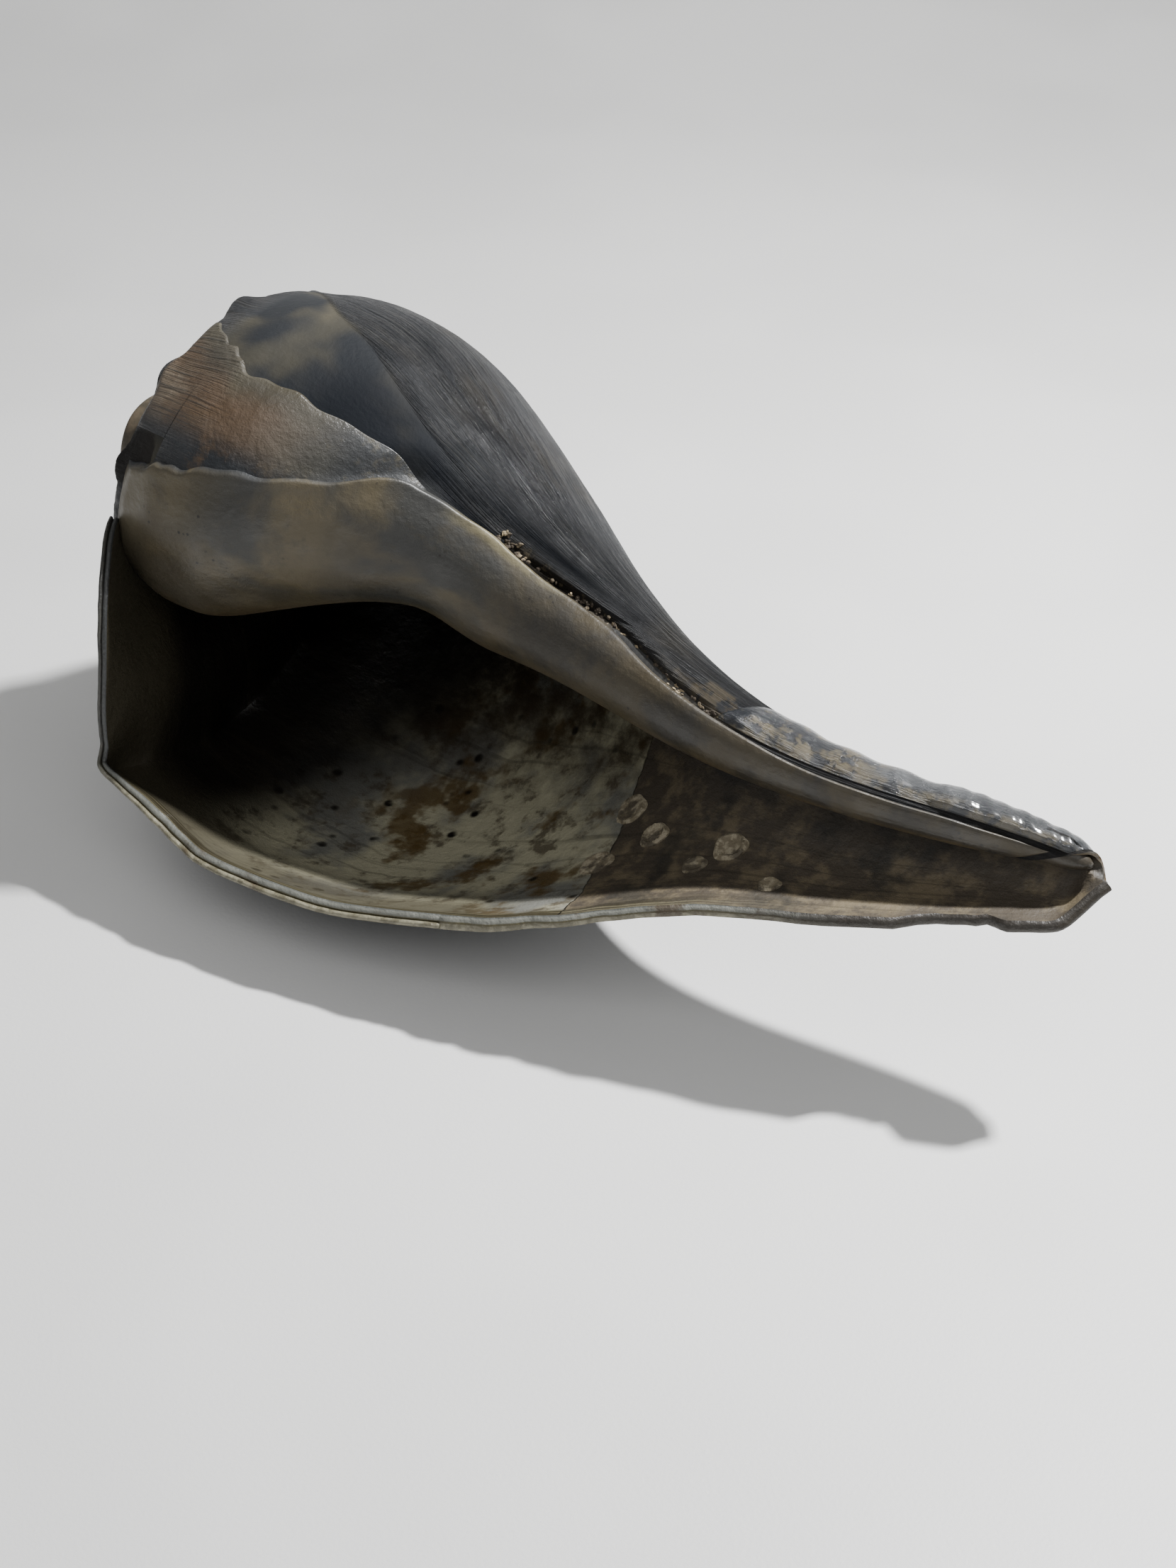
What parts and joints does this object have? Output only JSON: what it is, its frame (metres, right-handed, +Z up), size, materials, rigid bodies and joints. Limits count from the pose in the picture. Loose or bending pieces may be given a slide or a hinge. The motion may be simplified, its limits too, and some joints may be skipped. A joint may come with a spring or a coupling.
{
  "type": "shell trumpet",
  "caption": "Large left-handed whelk shell used as a blown horn, with a wide oval aperture, an open siphonal canal, a knobbed shoulder and a ground mouth ring at the apex.",
  "frame": {"origin": "middle of the bottom of the box round the shell as it lies on the belly of its last whorl", "axes": "+X along the coiling axis from the apex to the tip of the siphonal canal, +Z up, the aperture faces -Y"},
  "size_m": [0.278, 0.1376, 0.1381],
  "materials": {
    "chalky_wall": "satin, fine growth lines across a grey-blue weathered outer layer",
    "canal_lining": "dull brown-grey stained inner surface",
    "lip_chalk": "matt layered cream edge",
    "porcelain": "glossy blue-grey to white porcelain with brown stains",
    "pillar": "smooth tan glaze",
    "fasciole": "glossy lumpy grey glaze",
    "callus": "smooth pale tan glaze with grey clouds",
    "crust": "rough dark brown crust",
    "barnacle": "matt pale chalky ring",
    "ring": "ground matt shell"
  },
  "bodies": {
    "root": {"spire_early_whorl": "chalky_wall", "spire_inner_whorl": "chalky_wall", "body_wall_front": "chalky_wall", "body_wall_crown": "chalky_wall", "body_wall_back": "chalky_wall", "body_wall_belly": "chalky_wall", "canal_wall_top": "chalky_wall", "canal_wall_back": "chalky_wall", "canal_floor": "canal_lining", "canal_lip": "canal_lining", "outer_lip_chalk": "lip_chalk", "outer_lip_porcelain": "porcelain", "porcelain_lining": "porcelain", "columella_upper": "pillar", "columella_core": "pillar", "columellar_lip": "pillar", "siphonal_fasciole": "fasciole", "parietal_callus": "callus", "earlier_callus": "callus", "groove_crust": "crust", "barnacle_bases": "barnacle", "apex_mouth_ring": "ring"}
  },
  "joints": []
}
